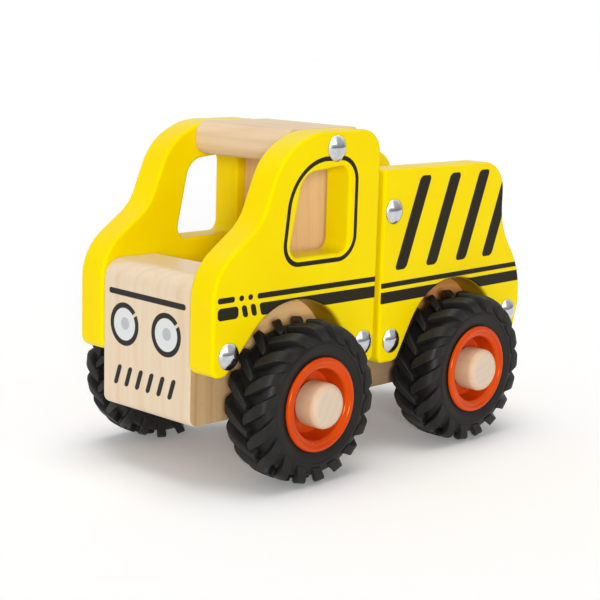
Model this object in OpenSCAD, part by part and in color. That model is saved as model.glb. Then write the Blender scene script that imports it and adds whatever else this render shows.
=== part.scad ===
// Wooden toy truck with a cab, an open load bed and four lugged rubber tyres.
// Millimetres, +X forward, +Y to the left side, +Z up.
// The origin lies on the ground below the middle of the truck.

/* [Overall] */
// Length over the side panels
length = 168; // [162:1:176]
// Thickness of every board: side panels, roof, cab wall and headboard
board = 12; // [11:0.5:13]
// Width of the solid wood between the side panels
body_w = 46; // [43:1:54]
// Slot between the cab panel and the bed panel
panel_slot = 2.6; // [1.5:0.1:4]
// Rear edge of the cab, ahead of the middle
cab_rear_x = 4; // [1:0.5:6]
// How far the chassis ends ahead of the rear of the bed panels
tail_inset = 3; // [2:0.5:4]

/* [Heights] */
// Underside of the chassis and of the hood block
base_z = 21.5; // [19:0.5:22.5]
// Floor of the load bed and of the cab
floor_z = 64; // [62:0.5:67]
// Top of the hood block
hood_z = 73.4; // [71:0.2:76]
// Top edge of the bed panels
bed_top_z = 105.6; // [102:0.4:112]
// Top of the headboard in the load bed
headboard_z = 100; // [96:1:101]
// Top of the cab
cab_top_z = 120.4; // [118:0.4:126]

/* [Blocks between the panels] */
// Depth of the hood block from front to back
hood_depth = 23; // [20:1:25]
// How far the cab panels stand ahead of the hood block
hood_setback = 1.1; // [0.5:0.1:2]
// Radius of the top front edge of the hood block
hood_round = 7; // [4:0.5:9]
// Radius of the bottom front edge of the hood block
chin_round = 3.5; // [1:0.5:5]
// Front edge of the roof block, behind the front of the panels
roof_in = 42.8; // [40:0.2:46]
// Radius of the front edges of the roof block
roof_round = 5; // [2:0.5:5.4]
// Radius of the top rear edge of the roof block
roof_back_round = 1.5; // [0.5:0.5:4]
// Small radius of the other block edges
arris = 0.6; // [0.2:0.1:1]

/* [Cab panel] */
// Corner of the nose curve, above the hood
nose_rise = 2.2; // [0.5:0.1:4]
// Radius of the nose curve
nose_round = 20; // [14:1:22]
// Foot of the windscreen post, behind the front
cowl_in = 21.3; // [19:0.1:23]
// Foot of the windscreen post, above the hood
cowl_rise = 17.2; // [15:0.2:19]
// Radius of the hollow at the foot of the windscreen post
cowl_round = 18; // [12:1:20]
// Head of the windscreen post, behind the front
post_in = 30.6; // [29:0.1:31.5]
// Head of the windscreen post, below the roof
post_drop = 7.4; // [6.5:0.1:8.5]
// Radius at the head of the windscreen post
post_round = 22; // [16:1:24]
// Front end of the flat roof line, behind the front
crown_in = 45.8; // [45:0.2:48]
// Radius at the front of the roof line
crown_round = 28; // [20:1:31]
// Radius at the rear of the roof line
cab_back_round = 8.6; // [5:0.2:12]
// Bottom edge ahead of the front wheel
cab_front_lobe_z = 40.5; // [38:0.5:42]
// Bottom edge behind the front wheel
cab_rear_lobe_z = 36; // [34:0.5:38]
// Radius of the lower corners beside the front wheel
cab_lobe_round = 4; // [2:0.5:4.4]
// Radius of the lower rear corner
cab_heel_round = 2.5; // [1:0.5:3]

/* [Window] */
// Bottom edge of the windows
window_z = 77.7; // [76:0.1:80]
// Rear edge of the windows, ahead of the cab's rear edge
window_post = 16; // [14:0.5:18]
// Lower front corner, behind the front of the panel
window_in = 34.6; // [33:0.2:36]
// How far the front edge leans back up to the top
window_lean = 6.4; // [4:0.2:8]
// Drop of the top edge towards the front
window_fall = 2.1; // [0:0.1:4]
// Radius of the upper front corner
window_top_round = 8; // [4:0.5:9]
// Radius of the other corners
window_round = 4; // [2:0.5:6]

/* [Bed panel] */
// Upper rear edge, ahead of the rear end
tail_in = 13.8; // [12:0.2:15]
// Radius of the upper rear corner
tail_top_round = 11.7; // [8:0.1:14]
// Radius of the upper front corner
bed_nose_round = 1.6; // [0.8:0.2:3]
// Height of the waist in the rear edge
waist_z = 79.8; // [78:0.2:82]
// Radius of the waist
waist_round = 26; // [18:1:28]
// Height of the hip below the waist
hip_z = 61.5; // [60:0.5:63]
// Radius of the hip
hip_round = 30; // [20:1:32]
// Height where the rear edge turns in again
tail_z = 47.5; // [46:0.5:49]
// Radius of that turn
tail_round = 14; // [8:1:16]
// Lower rear corner, ahead of the rear end
tail_foot_in = 3.2; // [2:0.2:4.4]
// Bottom edge ahead of the rear wheel
bed_front_lobe_z = 34; // [32:0.5:36]
// Bottom edge behind the rear wheel
bed_rear_lobe_z = 36; // [34:0.5:38]
// Radius of the lower corners at the ends
bed_lobe_round = 3; // [1:0.5:3.4]
// Radius of the lower corner ahead of the rear wheel
bed_arch_lobe_round = 4; // [2:0.5:4.4]

/* [Wheel arches] */
// Room between the flares of the arches and the tyres
arch_gap = 2.3; // [1.8:0.1:2.8]
// Centre of the front arch above the axle
front_arch_rise = 7.4; // [6:0.1:8]
// Centre of the rear arch above the axle
rear_arch_rise = 5.1; // [4:0.1:6]
// Width of the cab panel's foot ahead of the front wheel
front_foot_w = 6.5; // [5.5:0.1:7]
// Slope of the other flares
back_flare = 60; // [58:0.5:62]

/* [Wheels] */
// Front axle, ahead of the middle of the cab panels
front_axle_shift = 0.9; // [0:0.1:1.5]
// Rear axle, ahead of the middle of the bed panels
rear_axle_shift = 0; // [-1:0.1:1]
// Outer diameter of a tyre over its lugs
tyre_d = 57; // [56:0.2:58.4]
// Width of a tyre
tyre_w = 20.5; // [19:0.5:21.5]
// Gap between the chassis side and the tyre
tyre_inset = 4.5; // [4:0.1:6]
// Radius of a tyre's shoulders
shoulder_r = 4.4; // [3:0.2:5]
// Outer diameter of a rim over its rolled lip
rim_d = 33.2; // [32:0.2:34]
// Radius of the rolled lip
lip_r = 2.1; // [1.6:0.1:2.4]
// How far the lip starts inside the side of the tyre
lip_sink = 1.6; // [1.2:0.1:2.4]
// Wall of the rim under the tyre
barrel_wall = 2.2; // [1.6:0.1:2.6]
// Thickness of the rim's web
web_t = 4; // [3:0.5:5]
// Wall of the rim's hub
hub_wall = 2.4; // [1.5:0.1:3]
// Diameter of the wooden axles
axle_d = 8; // [7:0.5:9]
// Diameter of the wooden hub caps
cap_d = 16; // [15:0.5:17]
// How far a hub cap stands out past its tyre
cap_out = 4; // [2:0.5:6]
// Radius of the outer edge of a hub cap
cap_round = 2.5; // [1:0.5:3.5]
// Wood left at the closed end of a hub cap
cap_floor = 3.2; // [2:0.2:5]

/* [Tread] */
// Height of the lugs
lug_h = 2.9; // [1.5:0.1:3.2]
// Half the width of the level part of the tread
tread_flat = 3.7; // [2:0.1:5]
// Fall of the tread at its bend
bend_fall = 0.7; // [0.3:0.1:1]
// Bend of the tread, inside the side of the tyre
bend_in = 2.6; // [2:0.1:3.5]
// Fall of the tread at the outer ends of the lugs
edge_fall = 1.7; // [1.2:0.1:2]
// Outer ends of the lugs, inside the side of the tyre
edge_in = 0.4; // [0.2:0.1:0.8]
// How far the lugs run down the side of the tyre
lug_foot = 2.3; // [1:0.1:3]
// Step of the lugs' feet behind the side of the tyre
foot_in = 0.05; // [0.02:0.01:0.2]
// Lugs in each of the two rows round the tyre
lug_count = 18; // [14:1:20]
// Width of a lug along the tread at its outer end
lug_w = 5.6; // [4:0.2:6]
// Width of a lug along the tread at its tip
tip_w = 2.5; // [2:0.1:3]
// Slant of the lugs against the axle
lug_slant = 38; // [30:1:42]
// Line between the two rows, outside the middle of the tyre
split_out = 1.4; // [0:0.1:3]
// How far the tips of both rows reach past that line
tip_over = 0.7; // [0:0.1:1]
// Step of the outer row against the inner row, in lug spacings
row_step = 0.5; // [0.4:0.05:0.6]
// Angle of an inner lug at that line on the front wheels, up from straight ahead
front_turn = 5.7; // [-10:0.1:10]
// Angle of an inner lug at that line on the rear wheels, up from straight ahead
rear_turn = -1.1; // [-10:0.1:10]

/* [Screws] */
// Diameter of a domed screw head
head_d = 9.2; // [8:0.2:10]
// Height of a domed screw head
head_h = 2.2; // [1.6:0.1:3]
// Diameter of a screw shank
shank_d = 4; // [3:0.5:5]
// Length of thread in the wood behind a panel
screw_bite = 14; // [8:1:16]
// Hood screw, behind the front of the panel
hood_screw_in = 7.2; // [6:0.1:9]
// Hood screw, above the ground
hood_screw_z = 47.6; // [46:0.1:50]
// Roof screw, ahead of the cab's rear edge
roof_screw_in = 23.4; // [20:0.1:26]
// Lower cab screw, ahead of the cab's rear edge
heel_screw_in = 6.3; // [6:0.1:8]
// Lower cab screw, above the ground
heel_screw_z = 43.6; // [42:0.1:46]
// Headboard screw, behind the front of the bed panel
head_screw_in = 5.6; // [5:0.1:7]
// Headboard screw, above the ground
head_screw_z = 90.2; // [86:0.1:92]
// Lower front bed screw, behind the front of the bed panel
sill_screw_in = 6.5; // [5.5:0.1:8]
// Lower front bed screw, above the ground
sill_screw_z = 42.2; // [41:0.1:46]
// Rear bed screw, ahead of the rear end
tail_screw_in = 7.8; // [7.5:0.1:9]
// Rear bed screw, above the ground
tail_screw_z = 45.2; // [44:0.1:48]

/* [Fits] */
// Radial clearance of a wheel on its axle
run_fit = 0.08; // [0.03:0.01:0.1]
// Radial clearance of glued, screwed and stretched fits
seat_fit = 0.02; // [0.01:0.01:0.05]
// Side play of a wheel at each end of its hub
side_play = 0.4; // [0.3:0.1:0.6]
// Room at the end of glued and screwed holes
end_room = 0.4; // [0.2:0.1:0.8]

/* [Hidden] */
$fn = 64;

yellow = [0.97, 0.83, 0.03];
wood = [0.88, 0.72, 0.53];
pale_wood = [0.92, 0.80, 0.64];
rubber = [0.13, 0.13, 0.13];
orange = [0.92, 0.32, 0.06];
zinc = [0.80, 0.82, 0.85];

// How far a cut runs past the face that it opens
cut = 0.5;
// Largest turn between two points of a rounded corner
arc_step = 6;

// Stations along the length
front_x = length / 2;
rear_x = -length / 2;
bed_front_x = cab_rear_x - panel_slot;
hood_front_x = front_x - hood_setback;
hood_back_x = hood_front_x - hood_depth;
chassis_rear_x = rear_x + tail_inset;
roof_front_x = front_x - roof_in;
front_axle_x = (front_x + cab_rear_x) / 2 + front_axle_shift;
rear_axle_x = (bed_front_x + rear_x) / 2 + rear_axle_shift;

// Stations across the width
side_y = body_w / 2;
outer_y = side_y + board;
tyre_y = side_y + tyre_inset + tyre_w / 2;
cap_y = side_y + tyre_inset + tyre_w + cap_out;

// Wheel sizes, measured from the axle and from the middle of the tyre
tyre_r = tyre_d / 2;
axle_z = tyre_r;
root_r = tyre_r - lug_h;
rim_r = rim_d / 2;
lip_c = rim_r - lip_r;
lip_h = tyre_w / 2 - lip_sink;
well_r = rim_r - 2 * lip_r;
barrel_r = rim_r - barrel_wall;
hub_r = axle_d / 2 + hub_wall;
web_out = tyre_y + 0.7 * web_t;
web_in = web_out - web_t;
hub_in = side_y + side_play;
hub_out = web_out + web_t / 2;
cap_in = hub_out + side_play;
axle_end = cap_y - cap_floor - end_room;

// Wheel arches: a circle above each axle with a straight flare on each side
front_arch_r = tyre_r + arch_gap - front_arch_rise * cos(back_flare);
rear_arch_r = tyre_r + arch_gap - rear_arch_rise * cos(back_flare);

// Screw places as [x, z]
hood_screw = [front_x - hood_screw_in, hood_screw_z];
roof_screw = [cab_rear_x + roof_screw_in, cab_top_z - board / 2];
heel_screw = [cab_rear_x + heel_screw_in, heel_screw_z];
head_screw = [bed_front_x - head_screw_in, head_screw_z];
sill_screw = [bed_front_x - sill_screw_in, sill_screw_z];
tail_screw = [rear_x + tail_screw_in, tail_screw_z];
cab_screws = [hood_screw, roof_screw, heel_screw];
bed_screws = [head_screw, sill_screw, tail_screw];

// Outline tools
function unit(v) = v / norm(v);
function turned(a) = a > 180 ? a - 360 : a < -180 ? a + 360 : a;
function arc(c, r, a0, da, n) = [for (k = [0:n]) c + r * [cos(a0 + da * k / n), sin(a0 + da * k / n)]];

// Half of the angle at the corner q = [x, z, radius] between the corners p and s
function half_angle(p, q, s) =
    let (c = [q[0], q[1]])
    acos(unit([p[0], p[1]] - c) * unit([s[0], s[1]] - c)) / 2;

// How far a rounded corner reaches along its two edges
function reach(p, q, s) = q[2] / tan(half_angle(p, q, s));

// A rounded corner at q, with its radius times fit
function corner(p, q, s, fit) =
    let (
        r = q[2] * fit,
        c = [q[0], q[1]],
        u = unit([p[0], p[1]] - c),
        v = unit([s[0], s[1]] - c),
        half = half_angle(p, q, s),
        m = c + unit(u + v) * r / sin(half),
        a = c + u * r / tan(half) - m,
        b = c + v * r / tan(half) - m,
        a0 = atan2(a[1], a[0]),
        da = turned(atan2(b[1], b[0]) - a0)
    )
    arc(m, r, a0, da, max(2, ceil(abs(da) / arc_step)));

// A closed outline from a list of rounded corners. Where an edge is too
// short for the two corners at its ends, both give way.
function outline(pts) =
    let (
        n = len(pts),
        at = function(i) pts[(i + n) % n],
        far = [for (i = [0:n - 1]) reach(at(i - 1), at(i), at(i + 1))],
        edge = [for (i = [0:n - 1]) norm([for (k = [0:1]) at(i + 1)[k] - at(i)[k]])],
        fit = [for (i = [0:n - 1]) min(1, edge[i] / (far[i] + far[(i + 1) % n]))]
    )
    [for (i = [0:n - 1]) each corner(at(i - 1), at(i), at(i + 1), min(fit[i], fit[(i + n - 1) % n]))];

// The corner above an arch circle where its two flares would meet
function arch_top(x, z, r, ahead, behind) =
    [
        x + r * (cos(behind) - cos(ahead)) / sin(ahead + behind),
        z + r * (sin(ahead) + sin(behind)) / sin(ahead + behind),
        r
    ];

// The point of a flare at height z below the arch corner t
function flare_x(t, z, a) = t[0] + (t[1] - z) / tan(a);

// The slope of a line from the point [x, z] of a foot, seen from the arch
// centre, that touches an arch circle of radius r
function flare(foot, r) = asin(r / norm(foot)) - atan2(foot[1], foot[0]);

front_flare = flare(
    [front_x - front_foot_w - front_axle_x, cab_front_lobe_z - axle_z - front_arch_rise],
    front_arch_r
);
cab_arch = arch_top(front_axle_x, axle_z + front_arch_rise, front_arch_r, front_flare, back_flare);
bed_arch = arch_top(rear_axle_x, axle_z + rear_arch_rise, rear_arch_r, back_flare, back_flare);

cab_outline = outline([
    [front_x, cab_front_lobe_z, cab_lobe_round],
    [front_x, hood_z + nose_rise, nose_round],
    [front_x - cowl_in, hood_z + cowl_rise, cowl_round],
    [front_x - post_in, cab_top_z - post_drop, post_round],
    [front_x - crown_in, cab_top_z, crown_round],
    [cab_rear_x, cab_top_z, cab_back_round],
    [cab_rear_x, cab_rear_lobe_z, cab_heel_round],
    [flare_x(cab_arch, cab_rear_lobe_z, -back_flare), cab_rear_lobe_z, cab_lobe_round],
    cab_arch,
    [flare_x(cab_arch, cab_front_lobe_z, front_flare), cab_front_lobe_z, cab_lobe_round]
]);

window_outline = outline([
    [front_x - window_in, window_z, window_round],
    [front_x - window_in - window_lean, cab_top_z - board - window_fall, window_top_round],
    [cab_rear_x + window_post, cab_top_z - board, window_round],
    [cab_rear_x + window_post, window_z, window_round]
]);

bed_outline = outline([
    [bed_front_x, bed_front_lobe_z, bed_lobe_round],
    [bed_front_x, bed_top_z, bed_nose_round],
    [rear_x + tail_in, bed_top_z, tail_top_round],
    [rear_x + tail_in, waist_z, waist_round],
    [rear_x, hip_z, hip_round],
    [rear_x, tail_z, tail_round],
    [rear_x + tail_foot_in, bed_rear_lobe_z, bed_lobe_round],
    [flare_x(bed_arch, bed_rear_lobe_z, -back_flare), bed_rear_lobe_z, bed_lobe_round],
    bed_arch,
    [flare_x(bed_arch, bed_front_lobe_z, back_flare), bed_front_lobe_z, bed_arch_lobe_round]
]);

hood_outline = outline([
    [hood_back_x, base_z, arris],
    [hood_back_x, hood_z, arris],
    [hood_front_x, hood_z, hood_round],
    [hood_front_x, base_z, chin_round]
]);

roof_outline = outline([
    [cab_rear_x, cab_top_z - board, arris],
    [cab_rear_x, cab_top_z, roof_back_round],
    [roof_front_x, cab_top_z, roof_round],
    [roof_front_x, cab_top_z - board, roof_round]
]);

// A board or block with an outline in X and Z, from y = from to y = to
module slab(from, to) {
    translate([0, to, 0])
        rotate([90, 0, 0])
            linear_extrude(height = to - from)
                children();
}

// Puts a shape that turns about Z onto the cross axis at [x, z]
module on_axis(x, z) {
    translate([x, 0, z])
        rotate([-90, 0, 0])
            children();
}

// The same piece on the other side
module other_side() {
    mirror([0, 1, 0])
        children();
}

// Pilot holes for screws that come in through both sides
module pilot_holes(places) {
    for (p = places)
        for (side = [0, 1])
            mirror([0, side, 0])
                on_axis(p[0], p[1])
                    translate([0, 0, side_y - screw_bite - end_room])
                        cylinder(d = shank_d + 2 * seat_fit, h = screw_bite + end_room + cut);
}

// Through holes in a left side panel
module panel_holes(places) {
    for (p = places)
        on_axis(p[0], p[1])
            translate([0, 0, side_y - cut])
                cylinder(d = shank_d + 2 * seat_fit, h = board + 2 * cut);
}

// Domed screws in a left side panel
module screws(places) {
    dome_r = (head_d * head_d / 4 + head_h * head_h) / (2 * head_h);
    for (p = places)
        on_axis(p[0], p[1]) {
            translate([0, 0, side_y - screw_bite])
                cylinder(d = shank_d, h = screw_bite + board + head_h / 2);
            intersection() {
                translate([0, 0, outer_y + head_h - dome_r])
                    sphere(r = dome_r);
                translate([0, 0, outer_y])
                    cylinder(d = head_d + 2 * cut, h = head_h + cut);
            }
        }
}

module chassis_beam() {
    color(wood)
        difference() {
            translate([chassis_rear_x, -side_y, base_z])
                cube([hood_back_x - chassis_rear_x, body_w, floor_z - base_z]);
            for (x = [front_axle_x, rear_axle_x])
                on_axis(x, axle_z)
                    translate([0, 0, -side_y - cut])
                        cylinder(d = axle_d + 2 * seat_fit, h = body_w + 2 * cut);
            pilot_holes([heel_screw, sill_screw, tail_screw]);
        }
}

module hood_block() {
    color(pale_wood)
        difference() {
            slab(-side_y, side_y)
                polygon(hood_outline);
            pilot_holes([hood_screw]);
        }
}

module roof_block() {
    color(wood)
        difference() {
            slab(-side_y, side_y)
                polygon(roof_outline);
            pilot_holes([roof_screw]);
        }
}

module cab_rear_wall() {
    color(wood)
        translate([cab_rear_x, -side_y, floor_z])
            cube([board, body_w, cab_top_z - board - floor_z]);
}

module bed_headboard() {
    color(wood)
        difference() {
            translate([bed_front_x - board, -side_y, floor_z])
                cube([board, body_w, headboard_z - floor_z]);
            pilot_holes([head_screw]);
        }
}

module cab_panel_left() {
    color(yellow)
        difference() {
            slab(side_y, outer_y)
                difference() {
                    polygon(cab_outline);
                    polygon(window_outline);
                }
            panel_holes(cab_screws);
        }
}

module bed_panel_left() {
    color(yellow)
        difference() {
            slab(side_y, outer_y)
                polygon(bed_outline);
            panel_holes(bed_screws);
        }
}

module cab_screws_left() {
    color(zinc)
        screws(cab_screws);
}

module bed_screws_left() {
    color(zinc)
        screws(bed_screws);
}

// A wooden dowel from cap to cap
module axle(x) {
    color(wood)
        on_axis(x, axle_z)
            translate([0, 0, -axle_end])
                cylinder(d = axle_d, h = 2 * axle_end);
}

// A turned cap that is glued on the end of an axle
module hub_cap(x) {
    r = cap_d / 2;
    edge = concat(
        [[0, cap_in], [r, cap_in]],
        arc([r - cap_round, cap_y - cap_round], cap_round, 0, 90, 6),
        [[0, cap_y]]
    );
    color(pale_wood)
        on_axis(x, axle_z)
            difference() {
                rotate_extrude()
                    polygon(edge);
                translate([0, 0, cap_in - cut])
                    cylinder(d = axle_d + 2 * seat_fit, h = cap_y - cap_floor - cap_in + cut);
            }
}

// A dished rim with a rolled lip on both sides of the tyre seat
module rim(x) {
    bore_r = axle_d / 2 + run_fit;
    out_h = tyre_y + lip_h;
    in_h = tyre_y - lip_h;
    section = concat(
        [[bore_r, hub_in], [hub_r, hub_in], [hub_r, web_in], [well_r, web_in]],
        arc([lip_c, in_h], lip_r, 180, 180, 10),
        [[barrel_r, in_h], [barrel_r, out_h]],
        arc([lip_c, out_h], lip_r, 0, 180, 10),
        [[well_r, web_out], [hub_r, web_out], [hub_r, hub_out], [bore_r, hub_out]]
    );
    color(orange)
        on_axis(x, axle_z)
            rotate_extrude()
                polygon(section);
}

// One slanted lug, on the outer row for side = 1 and on the inner row for side = -1.
// It crosses the line between the rows at angle 0 and widens on its way to the shoulder.
module lug(side) {
    shoulder = side * (tyre_w / 2 + cut);
    tip = split_out - side * tip_over;
    lead = tyre_w / 4 * tan(lug_slant);
    function spot(h, edge) = [-h, lead - side * (h - split_out) * tan(lug_slant) + edge / 2];
    rotate([0, 0, -asin(lead / tyre_r)])
        translate([root_r - lug_h, 0, 0])
            rotate([0, 90, 0])
                linear_extrude(height = 3 * lug_h)
                    polygon([
                        spot(tip, -tip_w), spot(tip, tip_w),
                        spot(shoulder, lug_w), spot(shoulder, -lug_w)
                    ]);
}

// A rubber tyre with two staggered rows of slanted lugs that wrap over its shoulders
module tyre(x, turn) {
    half = tyre_w / 2;
    seat_r = barrel_r + seat_fit;
    bead_r = rim_r + seat_fit;
    crest_r = root_r - shoulder_r;
    bead_h = lip_h + lip_sink / 4;
    run = crest_r - bead_r;
    fall = half - bead_h;
    wall_r = (run * run + fall * fall) / (2 * fall);
    wall = concat(
        arc([crest_r, half - shoulder_r], shoulder_r, 0, 90, 6),
        arc([crest_r, half - wall_r], wall_r, 90, asin(run / wall_r), 6)
    );
    last = len(wall) - 1;
    carcass = concat(
        [[seat_r, -lip_h], [bead_r, -lip_h]],
        [for (k = [0:last]) [wall[last - k][0], -wall[last - k][1]]],
        wall,
        [[bead_r, lip_h], [seat_r, lip_h]]
    );
    crown = [
        [root_r - lug_foot, half - foot_in],
        [tyre_r - edge_fall, half - edge_in],
        [tyre_r - bend_fall, half - bend_in],
        [tyre_r, tread_flat]
    ];
    tread = concat(
        crown,
        [for (k = [0:3]) [crown[3 - k][0], -crown[3 - k][1]]]
    );
    color(rubber)
        on_axis(x, axle_z)
            translate([0, 0, tyre_y]) {
                rotate_extrude()
                    polygon(carcass);
                for (k = [0:lug_count - 1])
                    for (row = [0, 1])
                        intersection() {
                            rotate([0, 0, 360 * (k - row * row_step) / lug_count - turn])
                                lug(2 * row - 1);
                            rotate_extrude()
                                polygon(tread);
                        }
            }
}

chassis_beam();
hood_block();
roof_block();
cab_rear_wall();
bed_headboard();
cab_panel_left();
other_side() cab_panel_left();  // cab_panel_right
bed_panel_left();
other_side() bed_panel_left();  // bed_panel_right
cab_screws_left();
other_side() cab_screws_left();  // cab_screws_right
bed_screws_left();
other_side() bed_screws_left();  // bed_screws_right
axle(front_axle_x);  // front_axle
axle(rear_axle_x);  // rear_axle
hub_cap(front_axle_x);  // front_left_hub_cap
other_side() hub_cap(front_axle_x);  // front_right_hub_cap
hub_cap(rear_axle_x);  // rear_left_hub_cap
other_side() hub_cap(rear_axle_x);  // rear_right_hub_cap
rim(front_axle_x);  // front_left_rim
other_side() rim(front_axle_x);  // front_right_rim
rim(rear_axle_x);  // rear_left_rim
other_side() rim(rear_axle_x);  // rear_right_rim
tyre(front_axle_x, front_turn);  // front_left_tyre
other_side() tyre(front_axle_x, front_turn);  // front_right_tyre
tyre(rear_axle_x, rear_turn);  // rear_left_tyre
other_side() tyre(rear_axle_x, rear_turn);  // rear_right_tyre
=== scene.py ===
"""Wooden toy truck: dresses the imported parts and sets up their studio."""

import math
from collections import namedtuple

import bmesh
import bpy
from bpy.props import FloatProperty, FloatVectorProperty, IntProperty, PointerProperty
from mathutils import Matrix, Vector


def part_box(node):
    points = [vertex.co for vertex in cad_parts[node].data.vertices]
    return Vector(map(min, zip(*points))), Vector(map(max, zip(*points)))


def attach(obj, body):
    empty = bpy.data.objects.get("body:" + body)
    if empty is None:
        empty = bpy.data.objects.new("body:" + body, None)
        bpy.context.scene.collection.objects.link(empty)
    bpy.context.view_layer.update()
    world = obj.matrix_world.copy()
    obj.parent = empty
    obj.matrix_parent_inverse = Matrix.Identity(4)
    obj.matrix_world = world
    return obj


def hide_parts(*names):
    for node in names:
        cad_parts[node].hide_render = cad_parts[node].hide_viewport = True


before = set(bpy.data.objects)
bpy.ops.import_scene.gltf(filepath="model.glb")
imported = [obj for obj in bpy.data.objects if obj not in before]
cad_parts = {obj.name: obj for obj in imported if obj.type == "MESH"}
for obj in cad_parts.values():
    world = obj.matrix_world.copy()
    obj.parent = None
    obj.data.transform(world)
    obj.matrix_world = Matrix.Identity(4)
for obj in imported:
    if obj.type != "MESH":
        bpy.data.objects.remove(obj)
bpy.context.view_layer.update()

bl_info = {
    "name": "Wooden toy truck",
    "version": (1, 0, 0),
    "blender": (4, 5, 0),
    "location": "3D View > Sidebar > Toy truck",
    "description": "Rounded lacquered boards, lugged tyres, printed marks and a studio for a toy truck",
    "category": "Object",
}

MM = 0.001
WHITE = (1.0, 1.0, 1.0, 1.0)
# Points closer than this are one point
WELD = 0.002 * MM
# Triangles that meet at less than this angle are one face
FLAT_ANGLE = math.radians(0.5)
# Least sideways part of the normals of a flat side, and the most of the faces round it
SIDE_NORMAL = 0.99
ROUND_NORMAL = 0.1
# Faces that meet at less than these degrees are shaded as one
SMOOTH_BOARD = 40.0
SMOOTH_CAP = 35.0
SMOOTH_SCREW = 50.0
SMOOTH_WHEEL = 38.0
# Mesh attribute of the tyres that places painted shade: 1 on the floor of a groove and 0 on the lugs
GROOVE_SHADE = "groove"

PANELS = ("cab_panel_left", "cab_panel_right", "bed_panel_left", "bed_panel_right")
SCREWS = ("cab_screws_left", "cab_screws_right", "bed_screws_left", "bed_screws_right")
WHEELS = ("front_left", "front_right", "rear_left", "rear_right")


def length(name, description, millimetres):
    """A length that a user can change, given in millimetres"""
    return FloatProperty(
        name=name, description=description, default=millimetres * MM,
        min=0.0, precision=5, unit="LENGTH",
    )


def turn(name, description, degrees):
    """An angle that a user can change, given in degrees"""
    return FloatProperty(
        name=name, description=description, default=math.radians(degrees), subtype="ANGLE",
    )


def share(name, description, default, least=0.0):
    """A part of a whole that a user can change"""
    return FloatProperty(
        name=name, description=description, default=default, min=least, max=1.0, subtype="FACTOR",
    )


def paint(name, description, red, green, blue):
    """A colour that a user can change, as linear light"""
    return FloatVectorProperty(
        name=name, description=description, default=(red, green, blue, 1.0),
        size=4, min=0.0, max=1.0, subtype="COLOR",
    )


def level(name, description, default):
    """A strength of light that a user can change"""
    return FloatProperty(name=name, description=description, default=default, min=0.0)


class ToyTruckBoards(bpy.types.PropertyGroup):
    """Edges of the boards and heads of the screws"""

    panel_edge: length("Panel edge", "Radius along the edges of the lacquered panels", 1.3)
    block_edge: length("Block edge", "Radius along the edges of the plain wood", 0.5)
    screw_rim: length("Screw rim", "Height of the upright rim of a screw head", 0.35)
    screw_hole: length("Screw hole", "Edges closer than this to a screw stay sharp", 3.0)


class ToyTruckWheels(bpy.types.PropertyGroup):
    """Turned and moulded forms of the wheels"""

    cap_bore: length("Cap bore", "Radius of the blind hole in a hub cap", 4.02)
    cap_floor: length("Cap floor", "Wood left at the closed end of a hub cap", 3.2)
    cap_edge: length("Cap edge", "Radius of the outer edge of a hub cap", 2.5)
    cap_back: length("Cap back", "Radius of the inner edge of a hub cap", 0.4)
    rim_bore: length("Rim bore", "Radius of the hole that turns on the axle", 4.08)
    hub: length("Hub", "Radius of the rim's hub", 6.4)
    hub_out: length("Hub end", "Outer end of the hub, from the middle of the tyre", 4.8)
    web_out: length("Web", "Outer face of the web, from the middle of the tyre", 2.8)
    web: length("Web thickness", "Thickness of the web", 4.0)
    lip: length("Lip", "Radius of the rolled lip", 2.1)
    lip_sink: length("Lip sink", "How far the lip starts inside the side of the tyre", 1.6)
    lip_bead: length("Lip bead", "Radius of the bead round the outside of the lip", 1.25)
    dish: length("Dish", "How far the dish narrows from the lip to the web", 0.9)
    barrel: length("Barrel", "Wall of the rim under the tyre", 2.2)
    shoulder: length("Shoulder", "Radius of the tyre's shoulders", 4.4)
    side_drop: length("Side drop", "How far the side of the tyre lies behind the lugs' ends", 0.3)
    side_ring: length("Side ring", "Height of the moulded ring on the side of the tyre", 0.2)
    lug_depth: length("Lug depth", "Height of the lugs", 2.9)
    lug_top: length("Lug top", "Width of the top of an outer lug at its outer end", 4.8)
    inner_top: length("Inner lug top", "Width of the top of an inner lug at its outer end", 3.8)
    lug_flare: length("Lug flare", "How far each side of a lug spreads to its foot", 0.6)
    tip_round: length("Tip rounding", "Radius of the upright edges at the tip of a lug", 1.2)
    lug_rake: length("Lug rake", "How far the top of a lug leans down over its foot", 0.3)
    lug_edge: length("Lug edge", "Radius of the edges of a lug", 0.45)
    tip_share: share("Tip share", "Width of a lug at its tip, as a share of its outer end", 0.66, least=0.1)
    split_out: length("Split", "Line between the two rows, outside the middle", 1.4)
    tip_over: length("Tip overlap", "How far the tips of both rows reach past that line", 0.7)
    slant: turn("Slant", "Slant of the lugs against the axle", 38.0)
    front_turn: turn("Front turn", "Inner lug at that line on the front wheels, up from ahead", 5.7)
    rear_turn: turn("Rear turn", "Inner lug at that line on the rear wheels, up from ahead", -1.1)
    lug_count: IntProperty(name="Lugs", description="Lugs in each row round a tyre", default=18, min=3)
    row_step: share("Row step", "Step of the outer row against the inner row, in lug spacings", 0.5)


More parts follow.
